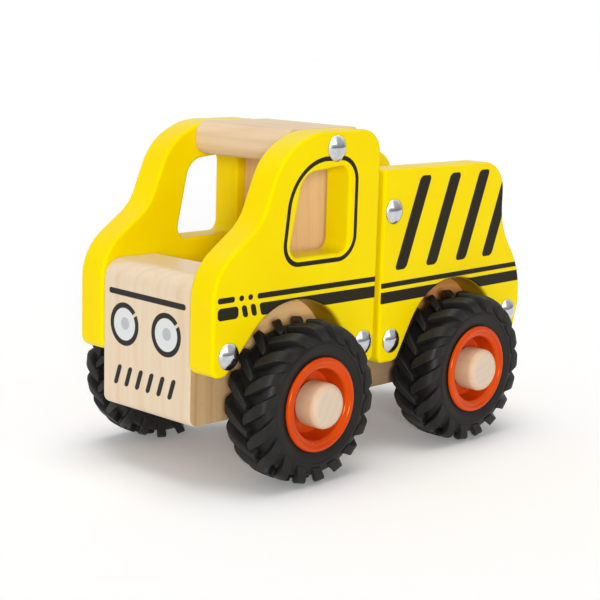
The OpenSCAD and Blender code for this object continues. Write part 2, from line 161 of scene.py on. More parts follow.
class ToyTruckFinish(bpy.types.PropertyGroup):
    """Colours of the finishes, and of painted shade and painted reflected light"""

    yellow: paint("Yellow", "Lacquer of the side panels", 0.81, 0.635, 0.0)
    deep_yellow: paint("Deep yellow", "Lacquer where it lies thicker", 0.80, 0.59, 0.0)
    # Painted shade: a darker lacquer for the faces in the wheel arches that look down
    arch_shade_yellow: paint("Under yellow", "Lacquer in the wheel arches", 0.42, 0.24, 0.0)
    sheen: paint("Yellow sheen", "Tint of the light that the lacquer throws back", 1.0, 0.87, 0.02)
    ink: paint("Ink", "Dark printing ink", 0.016, 0.014, 0.0125)
    white_ink: paint("White ink", "Printed lamp glass", 0.62, 0.63, 0.62)
    grey_ink: paint("Grey ink", "Printed lamp middles", 0.41, 0.43, 0.45)
    pale_wood: paint("Pale wood", "Light wood of the front", 0.68, 0.56, 0.41)
    pale_grain: paint("Pale wood grain", "Grain of the light wood", 0.62, 0.41, 0.225)
    # Painted shade: the sides of the front block are darker and warmer than its front
    shaded_side_wood: paint("Side wood", "Light wood on the sides of the front block", 0.54, 0.36, 0.18)
    shaded_side_grain: paint("Side grain", "Grain on the sides of the front block", 0.31, 0.18, 0.075)
    cap_wood: paint("Cap wood", "Wood of the hub caps", 0.60, 0.49, 0.38)
    cap_grain: paint("Cap grain", "Grain of the hub caps", 0.50, 0.34, 0.21)
    # Painted reflected light: orange light thrown back from the rims onto the hub caps' sides
    cap_rim_bounce: paint("Cap side", "Tint of the long grain round the hub caps", 1.0, 0.85, 0.69)
    roof_wood: paint("Roof wood", "Wood of the roof", 0.70, 0.53, 0.345)
    roof_grain: paint("Roof grain", "Grain of the roof", 0.58, 0.36, 0.19)
    wall_wood: paint("Wall wood", "Wood of the cab wall and the headboard", 0.83, 0.57, 0.29)
    wall_grain: paint("Wall grain", "Grain of the cab wall and the headboard", 0.60, 0.34, 0.13)
    beam_wood: paint("Beam wood", "Wood of the beam", 0.95, 0.62, 0.28)
    beam_grain: paint("Beam grain", "Grain of the beam", 0.66, 0.36, 0.12)
    # Painted shade on the sides of the beam towards the rear, where the rear wheels shade it
    tail_shade_tint: paint("Tail tint", "Tint of the sides of the beam towards the rear", 0.66, 0.46, 0.30)
    # Painted shade: darker wood on the beam towards its underside
    shaded_low_wood: paint("Low wood", "Wood of the beam towards its underside", 0.33, 0.22, 0.125)
    shaded_low_grain: paint("Low grain", "Grain of the beam towards its underside", 0.20, 0.12, 0.06)
    rubber: paint("Rubber", "Tyre rubber", 0.0105, 0.0100, 0.0088)
    dusty_rubber: paint("Dusty rubber", "Tyre rubber with a dull bloom", 0.0175, 0.0165, 0.0142)
    # Painted shade: darker rubber in the grooves between the lugs
    groove: paint("Groove", "Tyre rubber in the grooves between the lugs", 0.0086, 0.0082, 0.0073)
    orange: paint("Orange", "Moulded plastic of the rims", 0.59, 0.054, 0.0015)
    deep_orange: paint("Deep orange", "Rim plastic where it flowed", 0.53, 0.041, 0.0015)
    rim_sheen: paint("Orange sheen", "Tint of the light that the rims throw back", 1.0, 0.40, 0.08)
    zinc: paint("Zinc", "Bright plating of the screws", 0.66, 0.68, 0.70)
    dull_zinc: paint("Dull zinc", "Plating where it is rubbed", 0.52, 0.54, 0.56)
    floor: paint("Floor", "Plain pale floor", 0.95, 0.95, 0.95)


class ToyTruckStudio(bpy.types.PropertyGroup):
    """Camera and light"""

    azimuth: turn("Azimuth", "Way round the truck to the camera", 134.04)
    elevation: turn("Elevation", "Height of the camera as an angle", 10.55)
    roll: turn("Roll", "Tilt of the camera about its line of sight", 1.70)
    distance: length("Distance", "Camera to the point that it looks at", 566.8)
    target: FloatVectorProperty(
        name="Target", description="Point that the camera looks at",
        default=(7.4 * MM, 0.0, 53.58 * MM), size=3, subtype="XYZ", unit="LENGTH",
    )
    lens: FloatProperty(
        name="Lens", description="Focal length in millimetres", default=89.94, min=1.0, unit="CAMERA",
    )
    sky: level("Sky", "Strength of the even light from all round", 0.28)
    backdrop: level("Backdrop", "Brightness of the white behind the floor", 1.0)
    mirrored_low: level("Low mirrored light", "Mirrored brightness near the floor", 0.45)
    mirrored_high: level("High mirrored light", "Mirrored brightness above", 1.5)
    room_low: level("Low room", "Mirrored brightness beside the truck near the floor", 0.20)
    room_high: level("High room", "Mirrored brightness beside the truck higher up", 0.60)
    box_light: level("Soft box", "Mirrored brightness of the soft box beside the camera", 1.9)
    box_turn: turn("Soft box turn", "Way to the soft box from straight ahead", 68.0)
    box_width: turn("Soft box width", "Half the width of the soft box", 32.0)
    box_low: turn("Soft box foot", "Lower edge of the soft box above the floor", 17.0)
    box_high: turn("Soft box top", "Upper edge of the soft box above the floor", 48.0)
    front: level("Front light", "Strength of the light from ahead of the truck", 0.55)
    key: level("Key light", "Strength of the light beside the camera", 2.05)
    fill: level("Fill light", "Strength of the light from behind on the right side", 0.5)
    top: level("Top light", "Strength of the light from above", 1.25)
    softness: turn("Softness", "Width of the front and fill lights as an angle", 110.0)
    key_softness: turn("Key softness", "Width of the key light as an angle", 14.0)
    top_softness: turn("Top softness", "Width of the top light as an angle", 40.0)
    floor_glow: level("Floor glow", "Light of the floor itself, like paper lit from below", 0.10)


# A printed bar in millimetres, with the lean of its ends and the rise of its
# long edges as slopes
Bar = namedtuple("Bar", "across up half_across half_up lean rise corner", defaults=(0.0, 0.0, 0.2))
# A printed line in millimetres round a window, with the lean of its front as a
# slope and the radii of its corners
Outline = namedtuple(
    "Outline", "across up half_across half_up lean front_top front_low rear_top rear_low width")

CAB_BARS = (
    Bar(33.0, 66.45, 31.0, 0.98, rise=0.004, corner=0.8),
    Bar(32.8, 61.85, 29.8, 2.15, lean=0.24, rise=0.005, corner=1.1),
    Bar(78.2, 66.65, 3.8, 0.98, corner=0.85),
    Bar(71.3, 66.65, 1.1, 0.95, corner=0.95),
    Bar(67.2, 66.6, 1.1, 0.95, corner=0.95),
    Bar(77.3, 62.1, 4.7, 2.1, corner=1.5),
    Bar(69.7, 62.1, 1.2, 2.1, lean=0.25, corner=1.15),
    Bar(65.6, 62.1, 1.2, 2.1, lean=0.25, corner=1.15),
)
# Slanted bars on the load bed: centres in X and Z, and their common form
SLANTS = ((-15.5, 85.5), (-33.1, 85.6), (-50.8, 85.9), (-67.2, 85.9))
SLANT_HALF = (3.2, 17.1)
SLANT_LEAN = -0.38
SLANT_CORNER = 1.8
BED_BARS = (
    Bar(-40.0, 63.5, 41.0, 0.98, rise=-0.008),
    Bar(-40.9, 58.9, 41.9, 2.15, rise=-0.007),
    *(Bar(*place, *SLANT_HALF, lean=SLANT_LEAN, corner=SLANT_CORNER) for place in SLANTS),
)
WINDOW_LINE = Outline(
    33.35, 93.2, 16.8, 17.8, lean=-0.13,
    front_top=16.2, front_low=8.0, rear_top=8.3, rear_low=8.6, width=1.65,
)
BROW = Bar(0.15, 62.7, 20.2, 1.05, rise=-0.01, corner=1.0)
# Grille strokes on the front: first centre in Y and Z, step to the next, half size
GRILLE_COUNT = 6
GRILLE_START = (-15.0, 33.4)
GRILLE_STEP = (5.74, -0.04)
GRILLE_HALF = (1.1, 3.7)
GRILLE_LEAN = 0.35
# Lamps on the front: centres in Y and Z, radii of the ring, the glass and its
# middle, shift of the middle, and the break in the ring
LAMPS = ((-11.6, 51.8), (10.5, 51.6))
LAMP_RING = 7.65
LAMP_GLASS = 5.75
LAMP_MIDDLE = 2.2
MIDDLE_SHIFT = (0.35, 0.3)
BREAK_SHIFT = (5.5, 4.0)
BREAK_HALF = (1.1, 0.7)
BREAK_RISE = 0.73
BREAK_CORNER = 0.1
# Soft edge of printed ink, how much rougher it is, and how far behind a face it still shows
INK_EDGE = 0.12 * MM
INK_ROUGHNESS = 0.12
PRINT_DEPTH = 0.5 * MM

# Skin of a finish: sizes of its clouds and pebbles and depth of the pebbles in
# millimetres, and its roughness where it is smoothest and roughest
Skin = namedtuple("Skin", "cloud pebble depth smoothest roughest")
LACQUER_SKIN = Skin(26.0, 1.1, 0.012, 0.30, 0.42)
PLATING_SKIN = Skin(3.0, 0.8, 0.001, 0.12, 0.18)
PLASTIC_SKIN = Skin(14.0, 0.7, 0.004, 0.20, 0.28)
RUBBER_SKIN = Skin(9.0, 0.35, 0.02, 0.38, 0.52)
# Part of the noise that shows as clouds, from none to all
CLOUD_RANGE = (0.3, 0.7)
# Upward part of the normals that count as looking down for the painted shade in the wheel arches, from
# fully to not at all
DOWNWARD = (-0.7, -0.1)
# Band of heights where the painted shade on the lacquer in the wheel arches lies: its middle,
# half its height and its soft edge
ARCH_HEIGHT = 59.0 * MM
ARCH_HALF = 9.0 * MM
ARCH_FADE = 5.0 * MM

# Grain: waves of its noises per metre, along and across the wood
SWAY_WAVES = (9.0, 30.0)
BAND_WAVES = (5.0, 110.0)
STREAK_WAVES = (9.0, 480.0)
FLECK_WAVES = (260.0, 2300.0)
# Part of each noise that shows, from none to all
BAND_RANGE = (0.35, 0.7)
LINE_RANGE = (0.46, 0.74)
FLECK_RANGE = (0.60, 0.72)
GLOSS_RANGE = (0.2, 0.8)
# Distance of the pith beside and below the middle, and the sway of the rings round it
PITH = (70.0 * MM, 38.0 * MM)
SWAY = 14.0 * MM
# Step and sharpness of the growth rings along the wood and on its ends
LONG_RINGS = (5.3 * MM, 14.0)
END_RINGS = (3.2 * MM, 5.0)
# Weights in the figure of the wood along the grain and on its ends
RING_WEIGHT = 0.40
BAND_WEIGHT = 0.30
LINE_WEIGHT = 0.38
END_WEIGHT = 0.62
END_SWAY = 0.3
# Weights of the flecks in the colour and in the height of the wood
FLECK_COLOUR = 0.22
FLECK_HEIGHT = 0.5
# Depth of the grain, and roughness of the varnish where it is smoothest and roughest
GRAIN_DEPTH = 0.03 * MM
GRAIN_GLOSS = (0.40, 0.54)
# Varnish of the plain wood and of the front, and its weight on the front where no ink lies
VARNISH = {"Specular_IOR_Level": 0.25, "Coat_Weight": 0.03, "Coat_Roughness": 0.3}
FRONT_VARNISH = {"Specular_IOR_Level": 0.2, "Coat_Roughness": 0.3}
FRONT_COAT = 0.6
# Sharpness of the change between the faces of a block
FACE_SHARPNESS = 4.0
# Heights where the painted shade on the beam is darkest and where it starts, and the same
# for the painted shade on its sides along the truck
BEAM_LOW = (34.0 * MM, 50.0 * MM)
BEAM_TAIL = (-36.0 * MM, -18.0 * MM)


def deselect():
    """Leaves edit mode, with nothing selected"""
    if bpy.context.mode != "OBJECT":
        bpy.ops.object.mode_set(mode="OBJECT")
    bpy.ops.object.select_all(action="DESELECT")


def work_on(piece):
    """Makes one piece the only selected and the active object"""
    deselect()
    piece.select_set(True)
    bpy.context.view_layer.objects.active = piece


def open_mesh(kind="EDGE"):
    """Enters edit mode with all of the active piece selected"""
    bpy.ops.object.mode_set(mode="EDIT")
    bpy.ops.mesh.select_mode(type=kind)
    bpy.ops.mesh.select_all(action="SELECT")


def close_mesh():
    """Leaves edit mode"""
    bpy.ops.object.mode_set(mode="OBJECT")


def pick_edges(wanted):
    """Selects the edges of the open mesh that pass a test"""
    mesh = bpy.context.object.data
    shape = bmesh.from_edit_mesh(mesh)
    bpy.ops.mesh.select_all(action="DESELECT")
    found = [edge for edge in shape.edges if wanted(edge)]
    if not found:
        raise RuntimeError("no edge to work on in " + bpy.context.object.name)
    for edge in found:
        edge.select_set(True)
    bmesh.update_edit_mesh(mesh)


def round_edges(radius, segments):
    """Rounds the selected edges of the open mesh"""
    bpy.ops.mesh.bevel(
        offset_type="OFFSET", offset=radius, segments=segments, profile=0.5,
        affect="EDGES", clamp_overlap=False, loop_slide=False,
    )


def smooth(piece, degrees, flatness=100):
    """Shades a piece smooth below an angle and keeps its large faces flat"""
    work_on(piece)
    bpy.ops.object.shade_smooth_by_angle(angle=math.radians(degrees))
    weighted = piece.modifiers.new("flat_faces", "WEIGHTED_NORMAL")
    weighted.weight = flatness
    weighted.keep_sharp = True
    bpy.ops.object.modifier_apply(modifier=weighted.name)


def cast_from(part, name):
    """A new active piece from a CAD node's mesh, with its triangles merged to faces"""
    piece = bpy.data.objects.new(name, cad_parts[part].data.copy())
    bpy.context.scene.collection.objects.link(piece)
    work_on(piece)
    bpy.ops.mesh.customdata_custom_splitnormals_clear()
    open_mesh()
    bpy.ops.mesh.remove_doubles(threshold=WELD)
    bpy.ops.mesh.dissolve_limited(angle_limit=FLAT_ANGLE)
    close_mesh()
    return piece


def rounded(part, name, wanted, radius, segments):
    """A piece from a CAD node's mesh with the edges that pass a test rounded"""
    piece = cast_from(part, name)
    open_mesh()
    pick_edges(wanted)
    round_edges(radius, segments)
    smooth(piece, SMOOTH_BOARD)
    return piece


def side_edge(edge):
    """Whether an edge bounds one of the flat sides of a board or block"""
    flat = [abs(face.normal.y) for face in edge.link_faces]
    return len(flat) == 2 and max(flat) > SIDE_NORMAL and min(flat) < ROUND_NORMAL


def screw_places(part):
    """Places in X and Z of the separate screws in a CAD node"""
    cast_from(part, part + "_loose")
    open_mesh()
    bpy.ops.mesh.separate(type="LOOSE")
    close_mesh()
    loose = list(bpy.context.selected_objects)
    places = []
    for one in loose:
        across = [vertex.co.x for vertex in one.data.vertices]
        up = [vertex.co.z for vertex in one.data.vertices]
        places.append(((min(across) + max(across)) / 2.0, (min(up) + max(up)) / 2.0))
    drop(*loose)
    return places


def turned(name, profile, steps=96):
    """A piece turned about the Y axis from points of radius and height"""
    deselect()
    bpy.ops.mesh.primitive_plane_add(size=MM, location=(*profile[0], 0.0))
    piece = bpy.context.object
    piece.name = name
    open_mesh("VERT")
    bpy.ops.mesh.merge(type="CENTER")
    for start, end in zip(profile, profile[1:]):
        step = (end[0] - start[0], end[1] - start[1], 0.0)
        bpy.ops.mesh.extrude_vertices_move(TRANSFORM_OT_translate={"value": step})
    bpy.ops.mesh.select_all(action="SELECT")
    bpy.ops.mesh.spin(steps=steps, angle=math.tau, center=(0.0, 0.0, 0.0), axis=(0.0, 1.0, 0.0))
    bpy.ops.mesh.select_all(action="SELECT")
    bpy.ops.mesh.remove_doubles(threshold=WELD)
    bpy.ops.mesh.normals_make_consistent(inside=False)
    close_mesh()
    bpy.ops.object.transform_apply(location=True, rotation=True, scale=True)
    return piece


def arc(centre, radius, start, end, steps):
    """Points of radius and height along an arc, from one angle to another in degrees"""
    points = []
    for step in range(steps + 1):
        angle = math.radians(start + (end - start) * step / steps)
        points.append((centre[0] + radius * math.cos(angle), centre[1] + radius * math.sin(angle)))
    return points


def copy_to(piece, name, place):
    """A copy of a piece with its own mesh, moved or mirrored to its place"""
    mesh = piece.data.copy()
    mesh.transform(place)
    if place.determinant() < 0.0:
        mesh.flip_normals()
    copy = bpy.data.objects.new(name, mesh)
    bpy.context.scene.collection.objects.link(copy)
    return copy


def drop(*pieces):
    """Removes helper objects"""
    for piece in pieces:
        bpy.data.objects.remove(piece, do_unlink=True)


def join(pieces, name):
    """Joins pieces to one with a new name"""
    work_on(pieces[0])
    for piece in pieces:
        piece.select_set(True)
    bpy.ops.object.join()
    pieces[0].name = name
    return pieces[0]


def paint_over(piece, material):
    """Gives a piece one material only"""
    piece.data.materials.clear()
    piece.data.materials.append(material)


def dress(piece, material, body, slot, *parts):
    """Gives a piece its material, the body it rides on and the nodes it stands for"""
    paint_over(piece, material)
    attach(piece, body)
    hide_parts(*parts)


def middle_of(part):
    """Middle of a CAD node's box, and half of its size"""
    low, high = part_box(part)
    return (low + high) / 2.0, (high - low) / 2.0


def mirror_for(part):
    """Mirrors a form made for the left side where a part is on the right side"""
    side = 1.0 if middle_of(part)[0].y > 0.0 else -1.0
    return Matrix.Diagonal((1.0, side, 1.0, 1.0))


def wheel_place(wheel, angle=0.0):
    """Moves a form made about the Y axis to a wheel, mirrored on the right side"""
    tyre = wheel + "_tyre"
    return Matrix.Translation(middle_of(tyre)[0]) @ mirror_for(tyre) @ Matrix.Rotation(-angle, 4, "Y")


class Wire:
    """An output of a node, which takes part in sums like a number"""

    def __init__(self, tree, socket):
        self.tree = tree
        self.socket = socket

    def __add__(self, other):
        return maths("ADD", self, other)

    def __sub__(self, other):
        return maths("SUBTRACT", self, other)

    def __rsub__(self, other):
        return maths("SUBTRACT", other, self)

    def __mul__(self, other):
        return maths("MULTIPLY", self, other)

    def __pow__(self, other):
        return maths("POWER", self, other)

    def __gt__(self, other):
        return maths("GREATER_THAN", self, other)

    def __abs__(self):
        return maths("ABSOLUTE", self)

    def link(self, socket):
        """Links the wire to an input of a node"""
        self.tree.links.new(self.socket, socket)


def add_node(tree, kind, links, **settings):
    """Adds a node, and links its inputs or gives them values"""
    made = tree.nodes.new(kind)
    for key, value in settings.items():
        setattr(made, key, value)
    for socket, source in links.items():
        if isinstance(source, Wire):
            source.link(made.inputs[socket])
        else:
            made.inputs[socket].default_value = source
    return made


def from_node(kind, links, output=0, **settings):
    """An output of a new node, in the tree of the wires that it takes"""
    tree = next(source.tree for source in links.values() if isinstance(source, Wire))
    return Wire(tree, add_node(tree, kind, links, **settings).outputs[output])


def maths(operation, *terms, clamp=False):
    """The outcome of a Math node on wires or numbers"""
    return from_node("ShaderNodeMath", dict(enumerate(terms)), operation=operation, use_clamp=clamp)


def vectors(operation, *terms, output="Vector"):
    """The outcome of a Vector Math node on wires or vectors"""
    return from_node("ShaderNodeVectorMath", dict(enumerate(terms)), output, operation=operation)


def reach(vector, along):
    """How far a vector reaches along another"""
    return vectors("DOT_PRODUCT", vector, along, output="Value")


def split(vector):
    """The three numbers of a vector"""
    made = add_node(vector.tree, "ShaderNodeSeparateXYZ", {0: vector})
    return [Wire(vector.tree, socket) for socket in made.outputs]


def combine(x, y, z):
    """A vector from three numbers"""
    return from_node("ShaderNodeCombineXYZ", {0: x, 1: y, 2: z})


def blend(share_over, under, over):
    """One colour mixed over another"""
    return from_node("ShaderNodeMix", {0: share_over, 6: under, 7: over}, 2, data_type="RGBA")


def blend_value(share_over, under, over):
    """One number mixed over another"""
    return from_node("ShaderNodeMix", {0: share_over, 2: under, 3: over})


def noise(vector, detail=2.0, roughness=0.5):
    """Values of a noise texture at one unit of the vector"""
    links = {"Vector": vector, "Scale": 1.0, "Detail": detail, "Roughness": roughness}
    return from_node("ShaderNodeTexNoise", links)


def spread(value, low, high, to_low=0.0, to_high=1.0):
    """A value moved from one range to another and held there"""
    links = {0: value, 1: low, 2: high, 3: to_low, 4: to_high}
    return from_node("ShaderNodeMapRange", links, clamp=True)


def fade(value, low, high):
    """1 up to a low value, 0 from a high value on, and even between them"""
    return spread(value, low, high, 1.0, 0.0)


def new_group(name, inputs, outputs):
    """The wires that a new shader node group takes, and the sockets that it gives"""
    tree = bpy.data.node_groups.new(name, "ShaderNodeTree")
    for way, sockets in (("INPUT", inputs), ("OUTPUT", outputs)):
        for label, kind in sockets.items():
            tree.interface.new_socket(label, in_out=way, socket_type="NodeSocket" + kind)
    given = tree.nodes.new("NodeGroupInput").outputs
    wires = {label: Wire(tree, given[label]) for label in inputs}
    return wires, tree.nodes.new("NodeGroupOutput").inputs


def place_group(name, links):
    """The outputs of a node group, placed in the tree of the wires that it takes"""
    tree = links["Place"].tree
    made = add_node(tree, "ShaderNodeGroup", links, node_tree=bpy.data.node_groups[name])
    return {socket.name: Wire(tree, socket) for socket in made.outputs}


def box_distance(along, across, half, corner):
    """Distance outside a box with rounded corners, below zero inside it"""
    x = abs(along) - half[0] + corner
    y = abs(across) - half[1] + corner
    past = combine(maths("MAXIMUM", x, 0.0), maths("MAXIMUM", y, 0.0), 0.0)
    inside = maths("MINIMUM", maths("MAXIMUM", x, y), 0.0)
    return vectors("LENGTH", past, output="Value") + inside - corner


def inked(distance):
    """1 where a distance is below zero, with the soft edge of ink"""
    return maths("MULTIPLY_ADD", distance, -1.0 / INK_EDGE, 0.5, clamp=True)


def make_printed_bar():
    """A printed bar, which may lean or rise, as a mask"""
    given, result = new_group(
        "printed_bar",
        {"Place": "Vector", "Centre": "Vector", "Half size": "Vector",
         "Lean": "Float", "Rise": "Float", "Corner": "Float"},
        {"Ink": "Float"},
    )
    x, y, _ = split(vectors("SUBTRACT", given["Place"], given["Centre"]))
    along = x - y * given["Lean"]
    across = y - x * given["Rise"]
    distance = box_distance(along, across, split(given["Half size"]), given["Corner"])
    inked(distance).link(result["Ink"])


def make_printed_line():
    """A printed line round a window with a leaning front, as a mask"""
    given, result = new_group(
        "printed_line",
        {"Place": "Vector", "Centre": "Vector", "Half size": "Vector", "Lean": "Float",
         "Front top": "Float", "Front low": "Float", "Rear top": "Float", "Rear low": "Float",
         "Width": "Float"},
        {"Ink": "Float"},
    )
    x, y, _ = split(vectors("SUBTRACT", given["Place"], given["Centre"]))
    ahead = x > 0.0
    above = y > 0.0
    along = x - y * given["Lean"] * ahead
    front = blend_value(above, given["Front low"], given["Front top"])
    rear = blend_value(above, given["Rear low"], given["Rear top"])
    corner = blend_value(ahead, rear, front)
    distance = box_distance(along, y, split(given["Half size"]), corner)
    inked(abs(distance) - given["Width"] * 0.5).link(result["Ink"])


def make_wood_grain():
    """Streaks, growth rings and short flecks along the X axis of a place, and bare rings on its ends"""
    given, result = new_group(
        "wood_grain",
        {"Place": "Vector", "Pale": "Color", "Deep": "Color", "Contrast": "Float", "End": "Float"},
        {"Colour": "Color", "Height": "Float", "Roughness": "Float"},
    )
    place, end = given["Place"], given["End"]

    def layer(waves, **texture):
        along, across = waves
        return noise(vectors("MULTIPLY", place, (along, across, across)), **texture)

    def rings(step, sharpness):
        return abs(maths("SINE", from_pith * (math.pi / step))) ** sharpness

    sway = layer(SWAY_WAVES)
    _, y, z = split(place)
    from_pith = vectors("LENGTH", combine(0.0, y + PITH[0], z + PITH[1]), output="Value") + sway * SWAY
    bands = spread(layer(BAND_WAVES), *BAND_RANGE)
    streaks = layer(STREAK_WAVES, detail=3.0, roughness=0.6)
    lines = spread(streaks, *LINE_RANGE)
    flecks = spread(layer(FLECK_WAVES, detail=1.0), *FLECK_RANGE) * (1.0 - end)
    figure = rings(*LONG_RINGS) * RING_WEIGHT + bands * BAND_WEIGHT + lines * LINE_WEIGHT
    figure = blend_value(end, figure, rings(*END_RINGS) * END_WEIGHT + sway * END_SWAY)
    depth = maths("MULTIPLY", figure, given["Contrast"], clamp=True)
    colour = blend(depth, given["Pale"], given["Deep"])
    blend(flecks * FLECK_COLOUR, colour, given["Deep"]).link(result["Colour"])
    (streaks - flecks * FLECK_HEIGHT).link(result["Height"])
    spread(streaks, *GLOSS_RANGE, *GRAIN_GLOSS).link(result["Roughness"])


def make_fine_skin():
    """Cloudy shade, fine pebbling and gloss of lacquer, rubber, plastic and plating"""
    given, result = new_group(
        "fine_skin",
        {"Place": "Vector", "Cloud size": "Float", "Pebble size": "Float",
         "Smoothest": "Float", "Roughest": "Float"},
        {"Cloud": "Float", "Height": "Float", "Roughness": "Float"},
    )
    clouds = noise(vectors("DIVIDE", given["Place"], given["Cloud size"]), detail=3.0, roughness=0.55)
    cloud = spread(clouds, *CLOUD_RANGE)
    cloud.link(result["Cloud"])
    noise(vectors("DIVIDE", given["Place"], given["Pebble size"])).link(result["Height"])
    spread(cloud, 0.0, 1.0, given["Smoothest"], given["Roughest"]).link(result["Roughness"])


def new_material(name, **settings):
    """A material with some settings of its Principled shader"""
    material = bpy.data.materials.new(name)
    material.use_nodes = True
    sockets = material.node_tree.nodes["Principled BSDF"].inputs
    for label, value in settings.items():
        sockets[label.replace("_", " ")].default_value = value
    return material


def surface_of(material):
    """Place and normal of a material's surface in object coordinates"""
    tree = material.node_tree
    given = tree.nodes.new("ShaderNodeTexCoord").outputs
    return Wire(tree, given["Object"]), Wire(tree, given["Normal"])


def finish_material(material, colour, roughness, height, depth):
    """Links the colour, the roughness and the bump of a material"""
    sockets = material.node_tree.nodes["Principled BSDF"].inputs
    colour.link(sockets["Base Color"])
    roughness.link(sockets["Roughness"])
    bump = from_node("ShaderNodeBump", {"Height": height, "Distance": depth, "Strength": 1.0})
    bump.link(sockets["Normal"])
    return material


def bar_mask(place, bar):
    """The mask of one printed bar"""
    return place_group("printed_bar", {
        "Place": place,
        "Centre": (bar.across * MM, bar.up * MM, 0.0),
        "Half size": (bar.half_across * MM, bar.half_up * MM, 0.0),
        "Lean": bar.lean,
        "Rise": bar.rise,
        "Corner": bar.corner * MM,
    })["Ink"]


def disc_mask(place, centre, radius):
    """The mask of a printed disc"""
    return bar_mask(place, Bar(*centre, radius, radius, corner=radius))


def line_mask(place, line):
    """The mask of a printed line round a window"""
    return place_group("printed_line", {
        "Place": place,
        "Centre": (line.across * MM, line.up * MM, 0.0),
        "Half size": (line.half_across * MM, line.half_up * MM, 0.0),
        "Lean": line.lean,
        "Front top": line.front_top * MM,
        "Front low": line.front_low * MM,
        "Rear top": line.rear_top * MM,
        "Rear low": line.rear_low * MM,
        "Width": line.width * MM,
    })["Ink"]


def either(masks):
    """One mask from several"""
    result = masks[0]
    for mask in masks[1:]:
        result = maths("MAXIMUM", result, mask)
    return result


def shift(centre, step):
    """A place on a face, moved by a step"""
    return centre[0] + step[0], centre[1] + step[1]


def skin_at(place, skin):
    """Clouds, pebbles and gloss of a finish"""
    return place_group("fine_skin", {
        "Place": place, "Cloud size": skin.cloud * MM, "Pebble size": skin.pebble * MM,
        "Smoothest": skin.smoothest, "Roughest": skin.roughest})


def lacquer(name, finish, outer_face, bars, line=None):
    """Yellow lacquer with printed marks on the outer face of a panel, and painted shade on its downward
    faces in the wheel arches
    """
    material = new_material(name, Specular_IOR_Level=0.12, Specular_Tint=finish.sheen)
    place, normal = surface_of(material)
    skin = skin_at(place, LACQUER_SKIN)
    x, y, z = split(place)
    flat = combine(x, z, 0.0)
    masks = [bar_mask(flat, bar) for bar in bars]
    if line:
        masks.append(line_mask(flat, line))
    ink = either(masks) * (abs(y) > outer_face - PRINT_DEPTH)
    in_arch_shade = fade(abs(z - ARCH_HEIGHT), ARCH_HALF, ARCH_HALF + ARCH_FADE)
    colour = blend(skin["Cloud"], finish.yellow, finish.deep_yellow)
    # Painted shade on the downward faces in the wheel arches
    colour = blend(fade(split(normal)[2], *DOWNWARD) * in_arch_shade, colour, finish.arch_shade_yellow)
    colour = blend(ink, colour, finish.ink)
    roughness = skin["Roughness"] + ink * INK_ROUGHNESS
    return finish_material(material, colour, roughness, skin["Height"], LACQUER_SKIN.depth * MM)


def moulded(name, plain, clouded, skin, groove=None, **settings):
    """Rubber, plastic or plating: two tones in clouds over a pebbled skin, and a third as painted shade in
    grooves
    """
    material = new_material(name, **settings)
    place, _ = surface_of(material)
    surface = skin_at(place, skin)
    colour = blend(surface["Cloud"], plain, clouded)
    # Painted shade in the grooves, placed by a mesh attribute
    if groove is not None:
        depth = add_node(place.tree, "ShaderNodeAttribute", {}, attribute_name=GROOVE_SHADE).outputs["Fac"]
        colour = blend(Wire(place.tree, depth), colour, groove)
    return finish_material(
        material, colour, surface["Roughness"], surface["Height"], skin.depth * MM)


def along_grain(place, axis):
    """Object coordinates turned so that the grain along an axis runs along X"""
    x, y, z = split(place)
    return combine(*{"X": (x, y, z), "Y": (y, x, z), "Z": (z, y, x)}[axis])


def facing(normal, axis):
    """How far a face looks along an axis, sharpened to a mask"""
    return abs(split(normal)["XYZ".index(axis)]) ** FACE_SHARPNESS


def grain_at(place, end, pale, deep, contrast):
    """Colour, height and roughness of wood"""
    return place_group("wood_grain", {
        "Place": place, "Pale": pale, "Deep": deep, "Contrast": contrast, "End": end})


def plain_wood(name, pale, deep, axis, contrast, bounce_tint=None):
    """Varnished wood with its grain along one axis, which may have painted reflected light tinting the
    faces beside its ends
    """
    material = new_material(name, **VARNISH)
    place, normal = surface_of(material)
    end = facing(normal, axis)
    grain = grain_at(along_grain(place, axis), end, pale, deep, contrast)
    colour = grain["Colour"]
    # Painted reflected light on the faces beside the ends
    if bounce_tint is not None:
        colour = vectors("MULTIPLY", colour, blend(end, bounce_tint, WHITE))
    return finish_material(material, colour, grain["Roughness"], grain["Height"], GRAIN_DEPTH)


def beam_wood(name, finish, contrast):
    """Varnished wood with its grain along the truck, with painted shade below and on its sides at the rear
    """
    material = new_material(name, **VARNISH)
    place, normal = surface_of(material)
    end = facing(normal, "X")
    grain = grain_at(place, end, finish.beam_wood, finish.beam_grain, contrast)
    low = grain_at(place, end, finish.shaded_low_wood, finish.shaded_low_grain, contrast)
    x, _, z = split(place)
    # Painted shade towards the underside of the beam
    below = fade(z, *BEAM_LOW) * (1.0 - end)
    # Painted shade on the beam's sides towards the rear
    behind = fade(x, *BEAM_TAIL) * facing(normal, "Y") * (1.0 - below)
    colour = blend(below, grain["Colour"], low["Colour"])
    colour = vectors("MULTIPLY", colour, blend(behind, WHITE, finish.tail_shade_tint))
    return finish_material(material, colour, grain["Roughness"], grain["Height"], GRAIN_DEPTH)


